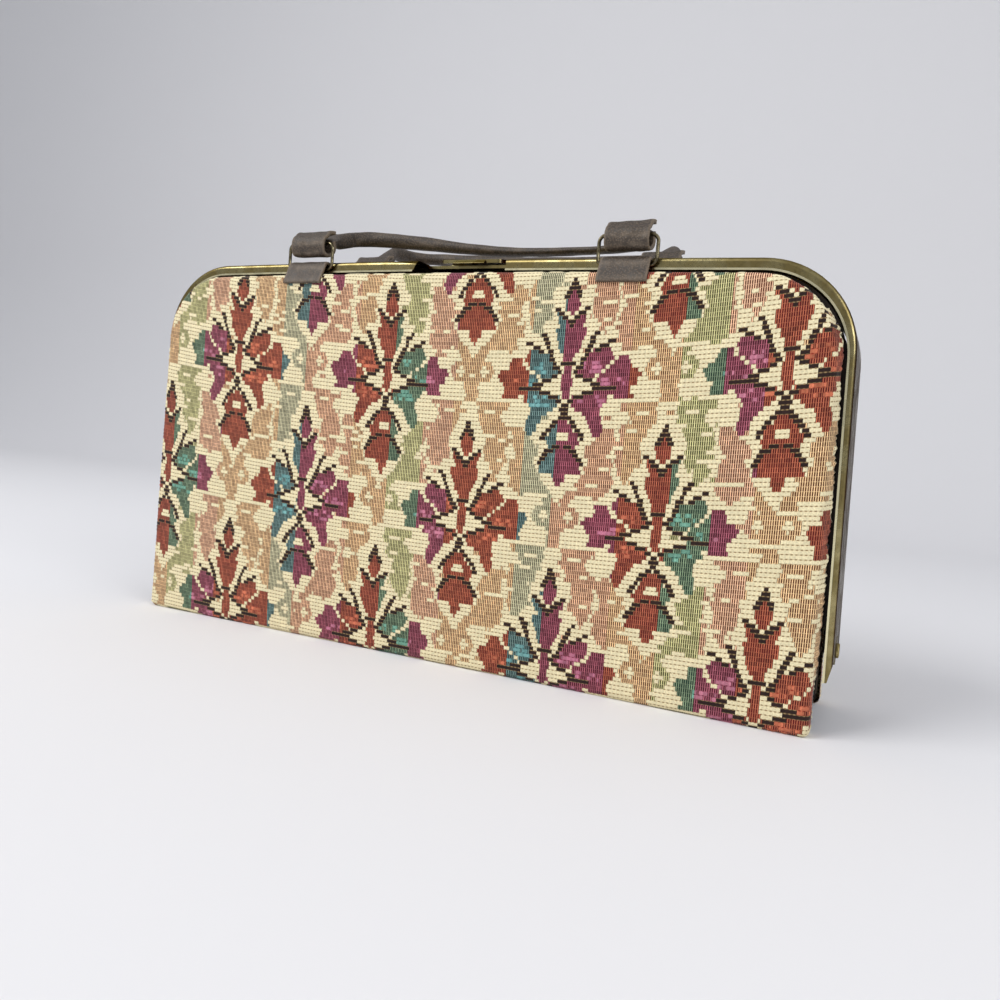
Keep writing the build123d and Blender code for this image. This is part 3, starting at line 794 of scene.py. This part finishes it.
def gussetPiece(side, sign, material):
    low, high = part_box(side + "_gusset")
    bm = clothGrid((high.y - low.y) / mm, (high.z - low.z) / mm, *gusset["steps"])
    across, up = gusset["wrinkleScale"]
    for vert in bm.verts:
        y, z = vert.co.x, vert.co.y + (low.z + high.z) / 2 / mm
        share = abs(y) / (high.y / mm)
        pleat = 0.5 + 0.5 * math.cos(math.pi * share)
        crumple = noise.noise((y * across, z * up, gusset["wrinkleLayer"])) * gusset["wrinkle"]
        crumple = crumple * (1 - share ** gusset["edgePower"])
        x = halfWidth(panel, z) - gusset["inset"] - gusset["fold"] * pleat + crumple
        vert.co = (sign * x * mm, sign * y * mm, z * mm)
    piece = newPiece("gusset" + side.capitalize(), bm, material)
    thicken(piece, gusset["thickness"])
    spanHalves(piece, side + "_gusset")


blackCloth = darkCloth("blackCotton", gusset)
for side, sign in (("left", -1), ("right", 1)):
    gussetPiece(side, sign, blackCloth)
print("gussets folded")

# Leather of the tabs and the handles
hide = {  # mm
    "grain": 0.75,
    "wrinkle": 3.0,
    "bumpDepth": 0.25,
    "colour": "#4a3d31",
    "worn": "#6b5c4b",
    # pale marks where the straps bend: wear and a painted highlight
    "crease": "#8b7a66",
    # painted shade in the pits of the grain
    "pitShade": "#221a13",
    "pitEdge": (0.15, 0.6),  # distances in the grain's own pattern
    "pitDepth": 0.75,
    "roughness": (0.42, 0.68),
}


def grainedLeather():
    # drum-dyed calf gone dull: fine pebbled grain, pale lines where it was bent, worn there and a painted
    # highlight, and painted shade in the pits of the grain
    material, tree, shader = newMaterial("grainedLeather")
    spot = node(tree, "TexCoord")
    bend = node(tree, "Attribute", {"attribute_name": "crease"})
    grain = node(tree, "TexVoronoi", {"Scale": 1 / (hide["grain"] * mm)}, {"Vector": spot.outputs["Object"]})
    cloud = node(tree, "TexNoise", {"Scale": 1 / (hide["wrinkle"] * mm), "Detail": 5.0},
                 {"Vector": spot.outputs["Object"]})
    base = node(tree, "Mix", {"data_type": "RGBA", 6: linear(hide["colour"]), 7: linear(hide["worn"])},
                {0: cloud.outputs["Fac"]})
    # darker towards the edges of the grain's pebbles: painted shade in its pits
    pitLow, pitHigh = hide["pitEdge"]
    pit = node(tree, "MapRange", {"From Min": pitLow, "From Max": pitHigh, "To Max": hide["pitDepth"]},
               {0: grain.outputs["Distance"]})
    pitted = node(tree, "Mix", {"data_type": "RGBA", 7: linear(hide["pitShade"])},
                  {0: pit.outputs[0], 6: base.outputs[2]})
    # the crease attribute pales the leather: on the straps, wear at the bends and a painted highlight
    bent = node(tree, "Mix", {"data_type": "RGBA", 7: linear(hide["crease"])},
                {0: bend.outputs["Fac"], 6: pitted.outputs[2]})
    smooth, dull = hide["roughness"]
    rough = node(tree, "MapRange", {"To Min": smooth, "To Max": dull}, {0: cloud.outputs["Fac"]})
    height = node(tree, "Math", {"operation": "SUBTRACT"}, {0: cloud.outputs["Fac"], 1: pit.outputs[0]})
    bump = node(tree, "Bump", {"Strength": 0.5, "Distance": hide["bumpDepth"] * mm},
                {"Height": height.outputs[0]})
    adjust(tree, shader, links={"Base Color": bent.outputs[2], "Roughness": rough.outputs[0],
                                "Normal": bump.outputs[0]})
    return material


leather = grainedLeather()

# Straps, as tabs and as the handles' loops
bending = {  # mm and degrees; noise scales are per mm along the bar, and per radian round it
    "wrinkleScale": (0.2, 1.2),
    "creaseWander": 12.0,
    "wanderScale": 0.12,
    "markScale": 0.3,
    "markDepth": (0.5, 0.9),  # mean share of a crease's depth, and how far that varies
    "creasePale": 0.5,
    "edgeShare": 0.12,  # of the half width
    "edgePale": 0.6,
    "leastOverlap": 0.01,
    "stepRate": 2,  # the end has climbed onto the layer below in half of the overlap
    "liftStart": -0.1,  # the free end lifts from here across the strap, in shares of its width
    "liftRamp": 0.6,
    "liftPower": 1.5,
    "endPale": 6,  # a power: only the very edge of the end is pale
    "bellyPlace": 235.0,
    "bellySpread": 38.0,
    "bellyLean": 1.2,  # forwards for each mm down
}


def wrapStrap(strap, xPlace, centre, seed):
    # a strap bent round a bar: along its length the grid turns about the bar, across it lies along X
    bm = clothGrid(1, 1, strap["stepsRound"], strap["stepsAcross"])
    crease = bm.verts.layers.float.new("crease")
    first, last = (math.radians(angle) for angle in strap["turn"])
    alongBar, roundBar = bending["wrinkleScale"]
    mean, vary = bending["markDepth"]
    for vert in bm.verts:
        along, across = vert.co.x + 0.5, vert.co.y
        angle = first + (last - first) * along
        heading = math.degrees(angle) % 360
        x = xPlace + across * strap["width"]
        wrinkle = 0.5 + noise.noise((x * alongBar, angle * roundBar, seed))
        radius = strap["radius"] - strap["wrinkle"] * wrinkle
        pale = 0.0
        for middle, width, depth in strap["creases"]:
            wander = bending["creaseWander"] * noise.noise((x * bending["wanderScale"], seed, middle))
            off = heading - middle + wander
            mark = mean + vary * noise.noise((x * bending["markScale"], middle, seed))
            mark = math.exp(-(off / width) ** 2) * mark
            radius -= depth * mark
            pale = max(pale, bending["creasePale"] * mark)
        edge = max(0, abs(across) * 2 - (1 - bending["edgeShare"])) / bending["edgeShare"]
        radius -= strap["edgeFall"] * edge ** 2
        end = max(0, along - 1 + strap["overlap"]) / max(strap["overlap"], bending["leastOverlap"])
        curl = min(max(0, across - bending["liftStart"]) / bending["liftRamp"], 1) ** bending["liftPower"]
        step = min(bending["stepRate"] * end, 1)
        radius += strap["leather"] * step + strap["lift"] * end ** 2 * curl
        fall = strap["belly"] * math.exp(-((heading - bending["bellyPlace"]) / bending["bellySpread"]) ** 2)
        # pale along the creases and the free end's edge, worn there and a painted highlight; paler towards
        # the side edges as well
        vert[crease] = min(max(pale, bending["edgePale"] * edge, end ** bending["endPale"]), 1)
        vert.co = Vector((x, centre[0] + radius * math.cos(angle) - bending["bellyLean"] * fall,
                          centre[1] + radius * math.sin(angle) - fall))
    return bm


# Tabs: short straps round the frame's edge and the ring's lower bar
tab = {  # mm and degrees; the turn starts and ends inside the bag
    "leather": 1.0,
    "radius": 3.6,
    "width": 18.4,
    "turn": (-20.0, 345.0),
    "stepsRound": 72,
    "stepsAcross": 36,
    "wrinkle": 0.25,
    "edgeFall": 0.15,
    "overlap": 0.0,
    "lift": 0.0,
    "belly": 3.4,  # hangs over the panel's top edge
    "sink": (-0.9, -1.3),  # along Y and Z, from the middle of the solid
    "creases": ((165.0, 14.0, 0.12), (225.0, 12.0, 0.1)),
}


def tabPiece(half, side, seed):
    name = half + "_" + side + "_tab"
    low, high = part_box(name)
    middle = (low + high) / 2 / mm
    bm = wrapStrap(tab, middle.x, tab["sink"], seed)
    bmesh.ops.scale(bm, vec=(mm, -mm if half == "rear" else mm, mm), verts=bm.verts)
    bmesh.ops.translate(bm, vec=(0, middle.y * mm, middle.z * mm), verts=bm.verts)
    bmesh.ops.recalc_face_normals(bm, faces=bm.faces)
    piece = newPiece("tab" + half.capitalize() + side.capitalize(), bm, leather)
    thicken(piece, tab["leather"])
    place(piece, half + "_half", "brown_leather", name)


for seed, (half, side) in enumerate((h, s) for h in ("front", "rear") for s in ("left", "right")):
    tabPiece(half, side, seed)
print("tabs looped")

# Handles: a stuffed roll, and at each end a strap looped over the ring and drawn into the roll
handle = {  # mm; the routes lie close to those of the solids
    "tabPlace": 68.6,
    "ringLine": 22.9,
    "frameTop": 155.8,
    "rollDepth": 40.9,
    "placeShares": (1.0, 0.955, 0.59),
    "depthShares": (0.46, 0.78, 0.90),
    "front": (13.8, 18.4, 17.1, 12.8, 11.8, 12.3, 12.6),  # heights above the frame, from left to right
    "rear": (19.4, 19.6, 19.4, 18.8, 18.0, 17.2, 16.7),
    "rollRadius": 2.9,
    "frontFlat": (1.0, 1.15, 1.04, 0.66, 0.52, 0.62, 1.0),  # thickness of the roll over its full one
    "rearFlat": (1.0, 1.0, 0.9, 0.8, 0.8, 0.85, 0.95),
    "flatSpread": 0.25,  # a flattened roll is wider
    "lump": 0.25,
    "lumpScale": (0.1, 0.3, 0.3),  # per mm
    "creaseScale": (0.2, 0.4, 0.4),
    "creasePale": 0.35,
    "roundings": 4,
    "ringSteps": 36,
    "lengthwise": 0.3,  # a ring that lies less than this along X is where the roll runs along the bag
    "neckWidth": 15.0,
    "neckThickness": 3.4,
    "neckSeat": (0.70, 0.43),  # on the loop, in shares of its radius
    "neckRise": 1.0,
    "neckRings": 14,
    "neckShare": 0.7,  # of the rings; the rest are on the sleeve
    "sleeveShare": 0.3,
    "sleeve": 7.0,
    "sleeveFit": 1.12,  # radius over the roll's
    "leather": 1.4,  # of the loops and sleeves
}
loop = {
    "radius": 4.7,
    "width": 16.4,
    "leather": 1.3,  # the step where the end lies on the layer below
    "turn": (400.0, 62.0),  # from the roll under the bar and up the front, so its end lies on top
    "stepsRound": 80,
    "stepsAcross": 36,
    "wrinkle": 0.3,
    "edgeFall": 0.2,
    "overlap": 0.16,
    "lift": 2.0,
    "belly": 0.5,
    "creases": ((178.0, 12.0, 0.2), (225.0, 12.0, 0.12)),
}


def rollRoute(half):
    line = handle["ringLine"] * (-1 if half == "front" else 1)
    depths = [line + handle["rollDepth"] * share for share in handle["depthShares"]]
    places = [handle["tabPlace"] * share for share in handle["placeShares"]]
    right = list(zip(places, depths))
    left = [(-x, y) for x, y in right]
    points = left + [(0, line + handle["rollDepth"])] + right[::-1]
    return [Vector((*point, handle["frameTop"] + height)) for point, height in zip(points, handle[half])]


def smoothRoute(points):
    # cuts the corners of a row of points, a quarter from each end, until it is a smooth bend
    for _ in range(handle["roundings"]):
        inner = []
        for first, second in zip(points, points[1:]):
            inner += [first.lerp(second, 0.25), first.lerp(second, 0.75)]
        points = [points[0], *inner[1:-1], points[-1]]
    return points


def addRing(bm, spot, along, wide, thick):
    ring = bmesh.ops.create_circle(bm, segments=handle["ringSteps"], radius=1)["verts"]
    bmesh.ops.scale(bm, vec=(wide, thick, 1), verts=ring)
    across = along.cross(Vector((0, 0, 1))).normalized()
    # every ring starts on the same side, so that none is bridged with a twist
    leading = across.y if abs(across.x) < handle["lengthwise"] else across.x
    if leading < 0:
        across = -across
    up = across.cross(along).normalized()
    turn = Matrix((across, up, along)).transposed().to_4x4()
    bmesh.ops.transform(bm, matrix=Matrix.Translation(spot) @ turn, verts=ring)
    return ring


def bridgeRings(bm, rings):
    loops = [{edge for vert in ring for edge in vert.link_edges} for ring in rings]
    for first, second in zip(loops, loops[1:]):
        bmesh.ops.bridge_loops(bm, edges=list(first | second))


def noiseAt(spot, scale):
    return noise.noise([value * share for value, share in zip(spot, scale)])


def rollPiece(half):
    route = [Vector((*spot, share)) for spot, share in zip(rollRoute(half), handle[half + "Flat"])]
    route = smoothRoute(route)
    bm = bmesh.new()
    rings = []
    for before, spot, after in zip([route[0], *route], route, [*route[1:], route[-1]]):
        along = (after - before).to_3d().normalized()
        wide = handle["rollRadius"] * (1 + handle["flatSpread"] * max(0, 1 - spot.w))
        rings.append(addRing(bm, spot.to_3d(), along, wide, handle["rollRadius"] * spot.w))
    bridgeRings(bm, rings)
    for ring in (rings[0], rings[-1]):
        bm.faces.new(ring)
    bmesh.ops.recalc_face_normals(bm, faces=bm.faces)
    crease = bm.verts.layers.float.new("crease")
    bm.normal_update()
    for vert in bm.verts:
        spot = vert.co.copy()
        vert.co += vert.normal * handle["lump"] * noiseAt(spot, handle["lumpScale"])
        vert[crease] = max(0, noiseAt(spot, handle["creaseScale"])) * handle["creasePale"]
    bmesh.ops.scale(bm, vec=(mm, mm, mm), verts=bm.verts)
    piece = newPiece("handleRoll" + half.capitalize(), bm, leather)
    place(piece, half + "_handle", "brown_leather", half + "_handle_roll")


def neckRings(bm, half, sign, centre):
    # rings from the flat strap to the round roll, bridged into a sleeve
    route = rollRoute(half)
    tip, beyond = (route[0], route[1]) if sign < 0 else (route[-1], route[-2])
    outward, upward = (loop["radius"] * share for share in handle["neckSeat"])
    seat = Vector((sign * handle["tabPlace"], centre[0] + outward, centre[1] + upward))
    onward = (beyond - tip).normalized()
    bend = Vector((seat.x, (seat.y + tip.y) / 2, (seat.z + tip.z) / 2 + handle["neckRise"]))
    count = handle["neckRings"]
    end = handle["rollRadius"] * handle["sleeveFit"]
    rings = []
    for step in range(count):
        share = step / (count - 1)
        t = min(share / handle["neckShare"], 1)
        spot = (1 - t) ** 2 * seat + 2 * t * (1 - t) * bend + t * t * tip
        along = ((1 - t) * (bend - seat) + t * (tip - bend)).normalized().lerp(onward, t).normalized()
        spot = spot + onward * handle["sleeve"] * max(0, share - handle["neckShare"]) / handle["sleeveShare"]
        ease = t * t * (3 - 2 * t)
        wide = handle["neckWidth"] / 2 * (1 - ease) + end * ease
        thick = handle["neckThickness"] / 2 * (1 - ease) + end * ease
        rings.append(addRing(bm, spot, along, wide, thick))
    bridgeRings(bm, rings)


def handleEnd(half, side, sign, seed):
    name = half + "_" + side + "_handle_end"
    low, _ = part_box(name)
    centre = (low.y / mm + loop["radius"], low.z / mm + loop["radius"])
    bm = wrapStrap(loop, sign * handle["tabPlace"], centre, seed)
    neckRings(bm, half, sign, centre)
    bmesh.ops.scale(bm, vec=(mm, mm, mm), verts=bm.verts)
    bmesh.ops.recalc_face_normals(bm, faces=bm.faces)
    piece = newPiece("handleEnd" + half.capitalize() + side.capitalize(), bm, leather)
    thicken(piece, handle["leather"])
    place(piece, half + "_handle", "brown_leather", name)


for half, seed in (("front", 10), ("rear", 20)):
    rollPiece(half)
    handleEnd(half, "left", -1, seed)
    handleEnd(half, "right", 1, seed + 1)
print("handles sewn")


# Finishes of the metal and the boards
metal = {
    "lipPlace": 21.6,  # mm from the bag's middle
    "lipHighlight": "#e9dfb6",  # painted highlight along the lip
    "sideDarkReflection": "#4c3a2e",  # painted dark reflection, on the sides facing along X
    "sideFacing": (0.55, 0.9),  # the normal's share along X
    "edgeTint": "#8a7c62",
    "rubEdge": (0.42, 0.66),  # ranges of the noise
    "speckEdge": (0.5, 0.72),
    "speckStrength": 0.4,
    "specksPerPatch": 8,
    "bumpDepth": 0.1,  # mm
}


def tarnishedMetal(name, colours, patch, roughness, lipped=False):
    # pressed metal, once lacquered: satin where hands rub it, brown and duller where it has tarnished
    material, tree, shader = newMaterial(name)
    bright, middle, dark = (linear(colour) for colour in colours)
    spot = node(tree, "TexCoord")
    cloud = node(tree, "TexNoise", {"Scale": 1 / (patch * mm), "Detail": 6.0, "Roughness": 0.62},
                 {"Vector": spot.outputs["Object"]})
    fine = node(tree, "TexNoise", {"Scale": metal["specksPerPatch"] / (patch * mm), "Detail": 3.0},
                {"Vector": spot.outputs["Object"]})
    rubLow, rubHigh = metal["rubEdge"]
    rub = node(tree, "MapRange", {"From Min": rubLow, "From Max": rubHigh}, {0: cloud.outputs["Fac"]})
    speckLow, speckHigh = metal["speckEdge"]
    speck = node(tree, "MapRange", {"From Min": speckLow, "From Max": speckHigh,
                                    "To Max": metal["speckStrength"]}, {0: fine.outputs["Fac"]})
    ground = node(tree, "Mix", {"data_type": "RGBA", 6: middle, 7: bright}, {0: rub.outputs[0]})
    colour = node(tree, "Mix", {"data_type": "RGBA", 7: dark}, {0: speck.outputs[0], 6: ground.outputs[2]})
    # the lip gets a painted highlight, and the sides facing along X a painted dark reflection
    if lipped:
        axes = node(tree, "SeparateXYZ", links={0: spot.outputs["Object"]})
        depth = node(tree, "Math", {"operation": "ABSOLUTE"}, {0: axes.outputs[1]})
        lip = node(tree, "Math", {"operation": "GREATER_THAN", 1: metal["lipPlace"] * mm},
                   {0: depth.outputs[0]})
        highlitLip = node(tree, "Mix", {"data_type": "RGBA", 7: linear(metal["lipHighlight"])},
                      {0: lip.outputs[0], 6: colour.outputs[2]})
        facing = node(tree, "SeparateXYZ", links={0: spot.outputs["Normal"]})
        aside = node(tree, "Math", {"operation": "ABSOLUTE"}, {0: facing.outputs[0]})
        sideLow, sideHigh = metal["sideFacing"]
        outside = node(tree, "MapRange", {"From Min": sideLow, "From Max": sideHigh}, {0: aside.outputs[0]})
        colour = node(tree, "Mix", {"data_type": "RGBA", 7: linear(metal["sideDarkReflection"])},
                      {0: outside.outputs[0], 6: highlitLip.outputs[2]})
    satin, dull = roughness
    rough = node(tree, "MapRange", {"To Min": dull, "To Max": satin}, {0: rub.outputs[0]})
    bump = node(tree, "Bump", {"Strength": 0.08, "Distance": metal["bumpDepth"] * mm},
                {"Height": fine.outputs["Fac"]})
    adjust(tree, shader, {"Metallic": 1.0, "Specular Tint": linear(metal["edgeTint"])},
           {"Base Color": colour.outputs[2], "Roughness": rough.outputs[0], "Normal": bump.outputs[0]})
    return material


board = {"colour": "#5d5346", "speck": "#8a7c67", "fibre": 1.5}  # mm


def greyBoard():
    # pressed waste-paper board: dull, fibrous, speckled
    material, tree, shader = newMaterial("greyBoard")
    spot = node(tree, "TexCoord")
    fibre = node(tree, "TexNoise", {"Scale": 1 / (board["fibre"] * mm), "Detail": 6.0},
                 {"Vector": spot.outputs["Object"]})
    shade = node(tree, "Mix", {"data_type": "RGBA", 6: linear(board["colour"]), 7: linear(board["speck"])},
                 {0: fibre.outputs["Fac"]})
    adjust(tree, shader, {"Roughness": 0.95}, {"Base Color": shade.outputs[2]})
    return material


finishes = {  # patches of tarnish in mm, roughness where rubbed and where dull
    "aged_brass": tarnishedMetal("agedBrassAndPaintedLight", ("#b3a678", "#85774d", "#483b27"), patch=9.0,
                                 roughness=(0.18, 0.32), lipped=True),
    "rivet_brass": tarnishedMetal("wornBrass", ("#d0c08a", "#a4935f", "#5f4f34"), patch=3.0,
                                  roughness=(0.18, 0.34)),
    "dark_wire": tarnishedMetal("bronzedWire", ("#a89d7c", "#5a5240", "#2a241b"), patch=2.0,
                                roughness=(0.2, 0.36)),
    "board": greyBoard(),
    "tapestry": tapestryCloth,
    "brown_leather": leather,
    "black_cloth": blackCloth,
    "lining_cloth": blackCloth,
}
for row in frame["record"]["subparts"]:
    solid = frame["nodes"][row["node"]]
    solid.data.materials.clear()
    solid.data.materials.append(finishes[row["material_slot"]])
print("metal and boards finished")
